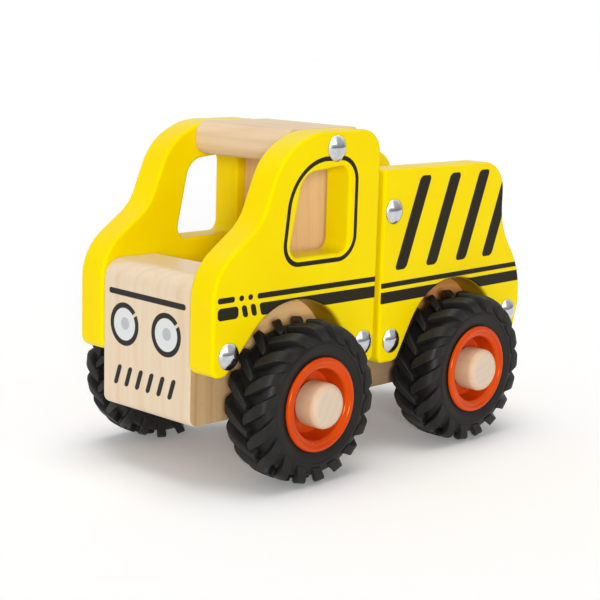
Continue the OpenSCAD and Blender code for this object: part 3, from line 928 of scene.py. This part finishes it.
def printed_wood(name, finish, front_face):
    """The pale wood of the hood with its printed lamps, brow line and grille, and painted shade on its
    sides
    """
    material = new_material(name, **FRONT_VARNISH)
    place, normal = surface_of(material)
    upright = along_grain(place, "Z")
    end = facing(normal, "Z")
    grain = grain_at(upright, end, finish.pale_wood, finish.pale_grain, contrast=0.75)
    # Painted shade for the sides of the front block
    side = grain_at(upright, end, finish.shaded_side_wood, finish.shaded_side_grain, contrast=0.8)
    x, y, z = split(place)
    flat = combine(y, z, 0.0)
    dark = [bar_mask(flat, BROW)]
    for stroke in range(GRILLE_COUNT):
        centre = shift(GRILLE_START, [step * stroke for step in GRILLE_STEP])
        bar = Bar(*centre, *GRILLE_HALF, lean=GRILLE_LEAN, corner=GRILLE_HALF[0])
        dark.append(bar_mask(flat, bar))
    glass, middles, breaks = [], [], []
    for lamp in LAMPS:
        dark.append(disc_mask(flat, lamp, LAMP_RING))
        glass.append(disc_mask(flat, lamp, LAMP_GLASS))
        middles.append(disc_mask(flat, shift(lamp, MIDDLE_SHIFT), LAMP_MIDDLE))
        gap = Bar(*shift(lamp, BREAK_SHIFT), *BREAK_HALF, rise=BREAK_RISE, corner=BREAK_CORNER)
        breaks.append(bar_mask(flat, gap))
    front = x > front_face - PRINT_DEPTH
    marks = either(dark)
    layers = (
        (maths("SUBTRACT", marks, either(breaks), clamp=True), finish.ink),
        (either(glass), finish.white_ink),
        (either(middles), finish.grey_ink),
    )
    # Painted shade on the faces that look sideways
    colour = blend(facing(normal, "Y"), grain["Colour"], side["Colour"])
    for mask, tint in layers:
        colour = blend(mask * front, colour, tint)
    coat = (1.0 - marks * front) * FRONT_COAT
    coat.link(material.node_tree.nodes["Principled BSDF"].inputs["Coat Weight"])
    return finish_material(material, colour, grain["Roughness"], grain["Height"], GRAIN_DEPTH)


class ToyTruckPanels(bpy.types.Operator):
    """Rounds the lacquered side panels and prints their marks"""

    bl_idname = "toy_truck.panels"
    bl_label = "Side panels"

    def execute(self, context):
        boards = context.scene.toy_truck_boards
        finish = context.scene.toy_truck_finish
        make_printed_bar()
        make_printed_line()
        make_fine_skin()
        outer_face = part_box("cab_panel_left")[1].y
        coats = {
            "cab": lacquer("cab_lacquer", finish, outer_face, CAB_BARS, WINDOW_LINE),
            "bed": lacquer("bed_lacquer", finish, outer_face, BED_BARS),
        }
        for part in PANELS:
            holes = screw_places(part.replace("panel", "screws"))

            def outline_edge(edge):
                middle = (edge.verts[0].co + edge.verts[1].co) / 2.0
                away = [math.hypot(middle.x - x, middle.z - z) for x, z in holes]
                return side_edge(edge) and min(away) > boards.screw_hole

            piece = rounded(part, part + "_board", outline_edge, boards.panel_edge, segments=4)
            dress(piece, coats[part.split("_")[0]], "truck", "yellow_lacquer", part)
        return {"FINISHED"}


class ToyTruckBlocks(bpy.types.Operator):
    """Breaks the edges of the plain wooden blocks and prints the front"""

    bl_idname = "toy_truck.blocks"
    bl_label = "Wooden blocks"

    # Least angle between the faces at an edge that is broken
    ARRIS = math.radians(60.0)

    def execute(self, context):
        boards = context.scene.toy_truck_boards
        finish = context.scene.toy_truck_finish
        make_wood_grain()
        woods = {
            "hood_block": printed_wood("front_wood", finish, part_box("hood_block")[1].x),
            "roof_block": plain_wood(
                "roof_wood", finish.roof_wood, finish.roof_grain, "Y", contrast=0.65),
            "cab_rear_wall": plain_wood(
                "wall_wood", finish.wall_wood, finish.wall_grain, "Z", contrast=0.4),
            "chassis_beam": beam_wood("beam_wood", finish, contrast=0.9),
        }
        woods["bed_headboard"] = woods["cab_rear_wall"]

        def arris(edge):
            long_enough = edge.calc_length() > 2.0 * boards.block_edge
            return long_enough and edge.calc_face_angle(0.0) > self.ARRIS

        for part, wood in woods.items():
            wanted = side_edge if part in ("hood_block", "roof_block") else arris
            piece = rounded(part, part + "_wood", wanted, boards.block_edge, segments=3)
            slot = "pale_wood" if part == "hood_block" else "natural_wood"
            dress(piece, wood, "truck", slot, part)
        for axle in ("front_axle", "rear_axle"):
            paint_over(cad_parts[axle], woods["roof_block"])
        return {"FINISHED"}


class ToyTruckCaps(bpy.types.Operator):
    """Turns the wooden hub caps"""

    bl_idname = "toy_truck.caps"
    bl_label = "Hub caps"

    def execute(self, context):
        wheels = context.scene.toy_truck_wheels
        finish = context.scene.toy_truck_finish
        # The hub caps' sides get painted orange light reflected from the rims
        wood = plain_wood(
            "cap_wood", finish.cap_wood, finish.cap_grain, "Y", contrast=0.3, bounce_tint=finish.cap_rim_bounce)
        middle, half = middle_of("front_left_hub_cap")
        back = middle.y - half.y - middle_of("front_left_tyre")[0].y
        face = back + 2.0 * half.y
        radius = half.x
        edge, rear = wheels.cap_edge, wheels.cap_back
        bore_end = face - wheels.cap_floor
        profile = [(0.0, bore_end), (wheels.cap_bore, bore_end), (wheels.cap_bore, back)]
        profile += arc((radius - rear, back + rear), rear, -90.0, 0.0, steps=3)
        profile += arc((radius - edge, face - edge), edge, 0.0, 90.0, steps=8)
        profile.append((0.0, face))
        cap = turned("cap_form", profile)
        for wheel in WHEELS:
            piece = copy_to(cap, wheel + "_cap", wheel_place(wheel))
            smooth(piece, SMOOTH_CAP)
            dress(piece, wood, "truck", "pale_wood", wheel + "_hub_cap")
        drop(cap)
        return {"FINISHED"}


class ToyTruckScrews(bpy.types.Operator):
    """Turns the domed screws and sets them in the panels"""

    bl_idname = "toy_truck.screws"
    bl_label = "Screws"

    # Radius of the shank, and how far the foot of the head is cut in and up
    SHANK = 2.0 * MM
    FOOT_IN = 0.2 * MM
    FOOT_UP = 0.15 * MM

    def execute(self, context):
        boards = context.scene.toy_truck_boards
        finish = context.scene.toy_truck_finish
        plating = moulded("bright_plating", finish.zinc, finish.dull_zinc, PLATING_SKIN, Metallic=1.0)
        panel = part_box("cab_panel_left")[1].y
        low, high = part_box("cab_screws_left")
        radius = high.x - max(x for x, z in screw_places("cab_screws_left"))
        crown = high.y - panel - boards.screw_rim
        dome = (radius * radius + crown * crown) / (2.0 * crown)
        sweep = math.degrees(math.asin(radius / dome))
        profile = [(0.0, low.y), (self.SHANK, low.y), (self.SHANK, panel)]
        profile += [(radius - self.FOOT_IN, panel), (radius, panel + self.FOOT_UP)]
        profile += arc((0.0, high.y - dome), dome, 90.0 - sweep, 90.0, steps=14)
        screw = turned("screw_form", profile)
        for part in SCREWS:
            mirror = mirror_for(part)
            row = [
                copy_to(screw, part + "_one", Matrix.Translation((x, 0.0, z)) @ mirror)
                for x, z in screw_places(part)
            ]
            piece = join(row, part + "_domed")
            smooth(piece, SMOOTH_SCREW)
            dress(piece, plating, "truck", "bright_zinc", part)
        drop(screw)
        return {"FINISHED"}


class ToyTruckRims(bpy.types.Operator):
    """Turns the dished rims with their rolled lips"""

    bl_idname = "toy_truck.rims"
    bl_label = "Rims"

    # Cut at the outer end of the hub, and radius where the web meets the hub and the dish
    CUT = 0.4 * MM
    FILLET = 1.2 * MM
    # Angles in degrees where the roll of the lip ends and where its bead starts
    ROLL_END = 78.0
    BEAD_START = 150.0

    def execute(self, context):
        wheels = context.scene.toy_truck_wheels
        finish = context.scene.toy_truck_finish
        plastic = moulded(
            "rim_plastic", finish.orange, finish.deep_orange, PLASTIC_SKIN,
            Specular_IOR_Level=0.5, Specular_Tint=finish.rim_sheen)
        middle, half = middle_of("front_left_rim")
        tyre, tyre_half = middle_of("front_left_tyre")
        radius = half.x
        bore, hub, hub_out = wheels.rim_bore, wheels.hub, wheels.hub_out
        hub_in = middle.y - half.y - tyre.y
        lip, bead = wheels.lip, wheels.lip_bead
        lip_height = tyre_half.y - wheels.lip_sink
        well = radius - 2.0 * lip
        barrel = radius - wheels.barrel
        dish, web_out = well - wheels.dish, wheels.web_out
        web_in = web_out - wheels.web
        fillet = self.FILLET
        roll = (radius - well - bead) / 2.0
        profile = [(bore, hub_out), (hub - self.CUT, hub_out), (hub, hub_out - self.CUT)]
        profile += arc((hub + fillet, web_out + fillet), fillet, 180.0, 270.0, steps=4)
        profile += arc((dish - fillet, web_out + fillet), fillet, 270.0, 360.0, steps=4)
        profile += arc((well + roll, lip_height), roll, 180.0, self.ROLL_END, steps=8)
        profile += arc((radius - bead, lip_height + lip - bead), bead, self.BEAD_START, 0.0, steps=12)
        profile += [(barrel, lip_height), (barrel, -lip_height)]
        profile += arc((radius - lip, -lip_height), lip, 0.0, -180.0, steps=16)
        profile += [(dish, web_in), (hub, web_in), (hub, hub_in), (bore, hub_in), profile[0]]
        rim = turned("rim_form", profile)
        for wheel in WHEELS:
            piece = copy_to(rim, wheel + "_dished_rim", wheel_place(wheel))
            smooth(piece, SMOOTH_WHEEL)
            dress(piece, plastic, wheel + "_wheel", "orange_plastic", wheel + "_rim")
        drop(rim)
        return {"FINISHED"}


class Tread:
    """Surfaces of a tyre, measured from its axle and its middle"""

    # Squareness of the tread over its shoulders, and its fall to its sides
    SQUARE = 4.0
    FALL = 5.5 * MM
    # How far the lugs sink into the tyre, and how far they run round the shoulder
    SINK = 0.5 * MM
    WRAP = math.radians(78.0)
    # Share of a lug's height that lies in the painted shade of a groove
    GROOVE_SHARE = 0.7
    # Halvings that find the top of a lug over the shoulder
    HALVINGS = 30
    # Angles in degrees where the shoulder ends and where the bulged side starts
    SHOULDER_END = 84.0
    SIDE_START = 93.0
    # Outer and inner edge of the ring on the side, from the middle of the shoulder
    RING_EDGES = (0.1 * MM, -0.5 * MM)

    def __init__(self, wheels):
        half = middle_of("front_left_tyre")[1]
        self.wheels = wheels
        self.radius = half.z
        self.half = half.y
        self.root = self.radius - wheels.lug_depth
        self.bend = (self.root - wheels.shoulder, self.half - wheels.side_drop - wheels.shoulder)
        self.foot = self.radius - self.FALL

    def crown(self, height):
        """Radius of the lug tops at a distance from the middle"""
        out = min(1.0, abs(height) / self.half) ** self.SQUARE
        return self.foot + (self.radius - self.foot) * (1.0 - out) ** (1.0 / self.SQUARE)

    def ray(self, angle):
        """Distance from the shoulder's centre to the lug tops"""
        near, far = self.wheels.shoulder, 2.0 * self.wheels.shoulder
        for _ in range(self.HALVINGS):
            trial = (near + far) / 2.0
            radius = self.bend[0] + trial * math.cos(angle)
            height = self.bend[1] + trial * math.sin(angle)
            inside = height < self.half and radius < self.crown(height)
            near, far = (trial, far) if inside else (near, trial)
        return near

    def tip(self, side):
        """Distance of a lug's tip from the middle"""
        return self.wheels.split_out - side * self.wheels.tip_over

    def run(self, side):
        """Length of the level part of a lug and its whole length"""
        level_part = self.bend[1] - side * self.tip(side)
        return level_part, level_part + self.WRAP * (self.wheels.shoulder + self.wheels.lug_depth / 2.0)

    def point(self, side, spot):
        """A point of the tread from its place across, along and above a lug"""
        wheels = self.wheels
        level_part, whole = self.run(side)
        up = spot.z / wheels.lug_depth
        if spot.y < level_part:
            height = self.tip(side) + side * spot.y
            radius = self.root + up * (self.crown(height) - self.root)
        else:
            angle = (spot.y - level_part) / (whole - level_part) * self.WRAP
            lift = spot.z if up < 0.0 else up * (self.ray(angle) - wheels.shoulder)
            radius = self.bend[0] + (wheels.shoulder + lift) * math.cos(angle)
            height = side * (self.bend[1] + (wheels.shoulder + lift) * math.sin(angle))
        along = min(1.0, spot.y / level_part)
        width = wheels.tip_share * (1.0 - along) + along
        trail = (spot.y - wheels.tip_over) * math.tan(wheels.slant)
        around = (trail + spot.x * width) / self.radius
        return Vector((radius * math.cos(around), height, radius * math.sin(around)))

    def groove(self, spot):
        """How deep a point lies in a groove of the tread, from 0 on a lug to 1 on the floor, for the
        painted shade there
        """
        radius, height = math.hypot(spot.x, spot.z), abs(spot.y)
        past = max(0.0, height - self.bend[1])
        if past:
            lift = math.hypot(radius - self.bend[0], past) - self.wheels.shoulder
        else:
            lift = radius - self.root
        floor = 1.0 - min(1.0, max(0.0, lift) / (self.wheels.lug_depth * self.GROOVE_SHARE))
        return floor * max(0.0, 1.0 - past / self.wheels.shoulder)

    def carcass(self, bead, bead_height):
        """Profile of one half of the tyre without its lugs"""
        shoulder = self.wheels.shoulder
        widest = self.bend[1] + shoulder
        inward, fall = self.bend[0] - bead, widest - bead_height
        wall = (inward * inward + fall * fall) / (2.0 * fall)
        sweep = math.degrees(math.asin(inward / wall))
        side = arc(self.bend, shoulder, 0.0, self.SHOULDER_END, steps=9)
        side += [(self.bend[0] + edge, widest + self.wheels.side_ring) for edge in self.RING_EDGES]
        side += arc((self.bend[0], widest - wall), wall, self.SIDE_START, 90.0 + sweep, steps=7)
        return side


class ToyTruckTyres(bpy.types.Operator):
    """Moulds the rubber tyres with their two staggered rows of slanted lugs"""

    bl_idname = "toy_truck.tyres"
    bl_label = "Tyres"

    # Cuts along the level part of a lug and round the shoulder
    CUTS = (5, 8)
    # Least angle between the faces at an edge of a lug that is rounded
    SHARP = math.radians(40.0)
    # Room between the tyre and the rim
    SEAT_GAP = 0.02 * MM
    # Share of the lip's sink at which the side of the tyre meets the lip
    LIP_SHARE = 0.25
    # Steps round the carcass, and how far its large faces stay flat
    STEPS = 120
    FLATNESS = 50

    def lug(self, tread, side):
        """One lug of the outer or the inner row, at straight ahead"""
        wheels = tread.wheels
        level_part, whole = tread.run(side)
        narrow = wheels.lug_top if side > 0.0 else wheels.inner_top
        wide = narrow + 2.0 * wheels.lug_flare
        tall = wheels.lug_depth + tread.SINK
        deselect()
        bpy.ops.mesh.primitive_cube_add(
            size=1.0, location=(0.0, whole / 2.0, tall / 2.0 - tread.SINK), scale=(wide, whole, tall))
        piece = bpy.context.object
        bpy.ops.object.transform_apply(location=True, rotation=True, scale=True)
        open_mesh()
        level_cuts, bend_cuts = self.CUTS
        cuts = [level_part * cut / level_cuts for cut in range(1, level_cuts + 1)]
        cuts += [level_part + (whole - level_part) * cut / bend_cuts for cut in range(1, bend_cuts)]
        for cut in cuts:
            bpy.ops.mesh.select_all(action="SELECT")
            bpy.ops.mesh.bisect(plane_co=(0.0, cut, 0.0), plane_no=(0.0, 1.0, 0.0))

        def on_top(edge):
            return min(vertex.co.z for vertex in edge.verts) > wheels.lug_depth - WELD

        def top_edge(edge):
            return on_top(edge) and edge.calc_face_angle(0.0) > self.SHARP

        def tip_corner(edge):
            heights = sorted(vertex.co.z for vertex in edge.verts)
            at_tip = max(vertex.co.y for vertex in edge.verts) < WELD
            return at_tip and heights[1] - heights[0] > wheels.lug_depth / 2.0

        pick_edges(on_top)
        bpy.ops.transform.resize(
            value=(narrow / wide, 1.0, 1.0), center_override=(0.0, whole / 2.0, wheels.lug_depth))
        bpy.ops.transform.translate(value=(-wheels.lug_rake, 0.0, 0.0))
        pick_edges(tip_corner)
        round_edges(wheels.tip_round, segments=4)
        pick_edges(top_edge)
        round_edges(wheels.lug_edge, segments=3)
        close_mesh()
        for vertex in piece.data.vertices:
            vertex.co = tread.point(side, vertex.co)
        open_mesh()
        bpy.ops.mesh.normals_make_consistent(inside=False)
        close_mesh()
        return piece

    def rows(self, tread):
        """Both rows of lugs as one piece"""
        wheels = tread.wheels
        lugs = []
        for side in (1.0, -1.0):
            first = self.lug(tread, side)
            step = wheels.row_step if side > 0.0 else 0.0
            for place in range(wheels.lug_count):
                angle = math.tau * (place + step) / wheels.lug_count
                lugs.append(copy_to(first, "lug", Matrix.Rotation(-angle, 4, "Y")))
            drop(first)
        return join(lugs, "lug_rows")

    def execute(self, context):
        wheels = context.scene.toy_truck_wheels
        finish = context.scene.toy_truck_finish
        rubber = moulded(
            "tyre_rubber_skin", finish.rubber, finish.dusty_rubber, RUBBER_SKIN,
            groove=finish.groove, Specular_IOR_Level=0.16)
        tread = Tread(wheels)
        bead = middle_of("front_left_rim")[1].x + self.SEAT_GAP
        seat = bead - wheels.barrel
        lip_height = tread.half - wheels.lip_sink
        wall = tread.carcass(bead, lip_height + wheels.lip_sink * self.LIP_SHARE)
        mirrored = [(radius, -height) for radius, height in reversed(wall)]
        profile = [(seat, -lip_height), (bead, -lip_height)] + mirrored
        profile += wall + [(bead, lip_height), (seat, lip_height), profile[0]]
        tyre = turned("tyre_form", profile, self.STEPS)
        lugs = self.rows(tread)
        work_on(tyre)
        union = tyre.modifiers.new("lugs", "BOOLEAN")
        union.operation = "UNION"
        union.solver = "EXACT"
        union.object = lugs
        bpy.ops.object.modifier_apply(modifier=union.name)
        open_mesh()
        bpy.ops.mesh.remove_doubles(threshold=WELD)
        bpy.ops.mesh.dissolve_degenerate(threshold=WELD)
        close_mesh()
        # Painted shade: how deep each point lies in a groove
        depths = tyre.data.attributes.new(GROOVE_SHADE, "FLOAT", "POINT")
        for vertex in tyre.data.vertices:
            depths.data[vertex.index].value = tread.groove(vertex.co)
        for wheel in WHEELS:
            angle = wheels.front_turn if wheel.startswith("front") else wheels.rear_turn
            piece = copy_to(tyre, wheel + "_lugged_tyre", wheel_place(wheel, angle))
            smooth(piece, SMOOTH_WHEEL, self.FLATNESS)
            dress(piece, rubber, wheel + "_wheel", "tyre_rubber", wheel + "_tyre")
        drop(tyre, lugs)
        return {"FINISHED"}


class ToyTruckStage(bpy.types.Operator):
    """Sets up the floor, the lights and the camera"""

    bl_idname = "toy_truck.stage"
    bl_label = "Studio"

    # Width of the floor in metres
    FLOOR_SIZE = 8.0
    # Ways that the lights come from
    FRONT_WAY = (1.0, 0.3, 0.55)
    KEY_WAY = (0.64, 0.75, 0.165)
    FILL_WAY = (-0.6, -1.0, 0.4)
    TOP_WAY = (0.0, 0.0, 1.0)
    # Upward part of the ways where the mirrored light is brightest, in all and in the room
    HIGH = 0.8
    ROOM_HIGH = 0.35
    # Leftward part of the ways where the room starts and is full, and the
    # upward part where it starts to end and has ended
    ROOM_SIDE = (0.1, 0.4)
    ROOM_TOP = (0.7, 0.85)
    # Width of the soft edges of the soft box
    BOX_EDGE = 0.05
    # Width of the camera's sensor in millimetres, and the nearest that it sees
    SENSOR = 36.0
    NEAREST = 10.0 * MM

    def lay_floor(self, finish, studio):
        """A wide floor of plain pale paper"""
        deselect()
        bpy.ops.mesh.primitive_plane_add(size=self.FLOOR_SIZE)
        floor = bpy.context.object
        floor.name = "floor"
        paint_over(floor, new_material(
            "pale_floor", Base_Color=finish.floor, Roughness=0.9, Specular_IOR_Level=0.1,
            Emission_Color=WHITE, Emission_Strength=studio.floor_glow))

    def mirrored_light(self, way, studio):
        """Brightness that glossy surfaces mirror: a room, with a soft box on the left side"""
        _, left, upward = split(way)
        light = spread(upward, 0.0, self.HIGH, studio.mirrored_low, studio.mirrored_high)
        room = spread(upward, 0.0, self.ROOM_HIGH, studio.room_low, studio.room_high)
        beside = spread(left, *self.ROOM_SIDE) * fade(upward, *self.ROOM_TOP)
        light = blend_value(beside, light, room)
        ahead = (math.cos(studio.box_turn), math.sin(studio.box_turn), 0.0)
        across = (-ahead[1], ahead[0], 0.0)
        edge = self.BOX_EDGE
        half, foot, top = map(math.sin, (studio.box_width, studio.box_low, studio.box_high))
        box = spread(reach(way, ahead), 0.0, edge) * fade(abs(reach(way, across)), half, half + edge)
        box = box * spread(upward, foot, foot + edge) * fade(upward, top, top + edge)
        return blend_value(box, light, studio.box_light)

    def fill_air(self, studio):
        """A world of even light that looks white behind the floor and is mirrored as a studio"""
        world = bpy.data.worlds.new("studio_air")
        world.use_nodes = True
        tree = world.node_tree
        air = tree.nodes["Background"]
        air.inputs["Color"].default_value = WHITE
        air.inputs["Strength"].default_value = studio.sky
        way = Wire(tree, tree.nodes.new("ShaderNodeTexCoord").outputs["Generated"])
        path = tree.nodes.new("ShaderNodeLightPath").outputs
        shown = Wire(tree, air.outputs[0])
        for ray, strength in (
            ("Is Glossy Ray", self.mirrored_light(way, studio)),
            ("Is Camera Ray", studio.backdrop),
        ):
            glow = add_node(tree, "ShaderNodeBackground", {"Color": WHITE, "Strength": strength})
            links = {0: Wire(tree, path[ray]), 1: shown, 2: Wire(tree, glow.outputs[0])}
            shown = from_node("ShaderNodeMixShader", links)
        shown.link(tree.nodes["World Output"].inputs["Surface"])
        return world

    def hang_light(self, name, strength, softness, way):
        """A soft light that shines from one way on all of the floor"""
        deselect()
        bpy.ops.object.light_add(type="SUN", location=way)
        light = bpy.context.object
        light.name = name
        light.rotation_euler = Vector(way).to_track_quat("Z", "Y").to_euler()
        light.data.energy = strength
        light.data.angle = softness

    def set_camera(self, studio):
        """A camera at the angle of the photograph"""
        azimuth, elevation, roll = studio.azimuth, studio.elevation, studio.roll
        back = Vector((
            math.sin(azimuth) * math.cos(elevation),
            -math.cos(azimuth) * math.cos(elevation),
            math.sin(elevation),
        ))
        level_right = Vector((math.cos(azimuth), math.sin(azimuth), 0.0))
        level_up = back.cross(level_right)
        right = level_right * math.cos(roll) + level_up * math.sin(roll)
        up = level_up * math.cos(roll) - level_right * math.sin(roll)
        pose = Matrix((right, up, back)).transposed().to_4x4()
        pose.translation = Vector(studio.target) + back * studio.distance
        deselect()
        bpy.ops.object.camera_add()
        camera = bpy.context.object
        camera.name = "photo_camera"
        camera.matrix_world = pose
        camera.data.sensor_fit = "HORIZONTAL"
        camera.data.sensor_width = self.SENSOR
        camera.data.lens = studio.lens
        camera.data.clip_start = self.NEAREST
        return camera

    def execute(self, context):
        scene = context.scene
        studio = scene.toy_truck_studio
        scene.view_settings.view_transform = "Standard"
        self.lay_floor(scene.toy_truck_finish, studio)
        scene.world = self.fill_air(studio)
        self.hang_light("front_light", studio.front, studio.softness, self.FRONT_WAY)
        self.hang_light("key_light", studio.key, studio.key_softness, self.KEY_WAY)
        self.hang_light("fill_light", studio.fill, studio.softness, self.FILL_WAY)
        self.hang_light("top_light", studio.top, studio.top_softness, self.TOP_WAY)
        scene.camera = self.set_camera(studio)
        return {"FINISHED"}


class ToyTruckPanel(bpy.types.Panel):
    """Lists the settings and the steps that dress the truck"""

    bl_idname = "VIEW3D_PT_toy_truck"
    bl_label = "Toy truck"
    bl_space_type = "VIEW_3D"
    bl_region_type = "UI"
    bl_category = "Toy truck"

    def draw(self, context):
        for group in SETTINGS:
            box = self.layout.box()
            settings = getattr(context.scene, group)
            for name in settings.__annotations__:
                box.prop(settings, name)
        for step in STEPS:
            self.layout.operator(step.bl_idname)


SETTINGS = {
    "toy_truck_boards": ToyTruckBoards,
    "toy_truck_wheels": ToyTruckWheels,
    "toy_truck_finish": ToyTruckFinish,
    "toy_truck_studio": ToyTruckStudio,
}
STEPS = (
    ToyTruckPanels,
    ToyTruckBlocks,
    ToyTruckCaps,
    ToyTruckScrews,
    ToyTruckRims,
    ToyTruckTyres,
    ToyTruckStage,
)


def register():
    for group in SETTINGS.values():
        bpy.utils.register_class(group)
    for name, group in SETTINGS.items():
        setattr(bpy.types.Scene, name, PointerProperty(type=group))
    for step in STEPS:
        bpy.utils.register_class(step)
    bpy.utils.register_class(ToyTruckPanel)


def unregister():
    bpy.utils.unregister_class(ToyTruckPanel)
    for step in reversed(STEPS):
        bpy.utils.unregister_class(step)
    for name, group in SETTINGS.items():
        delattr(bpy.types.Scene, name)
        bpy.utils.unregister_class(group)


def main():
    register()
    for step in STEPS:
        getattr(bpy.ops.toy_truck, step.bl_idname.split(".")[1])()
    deselect()


if __name__ == "__main__":
    main()
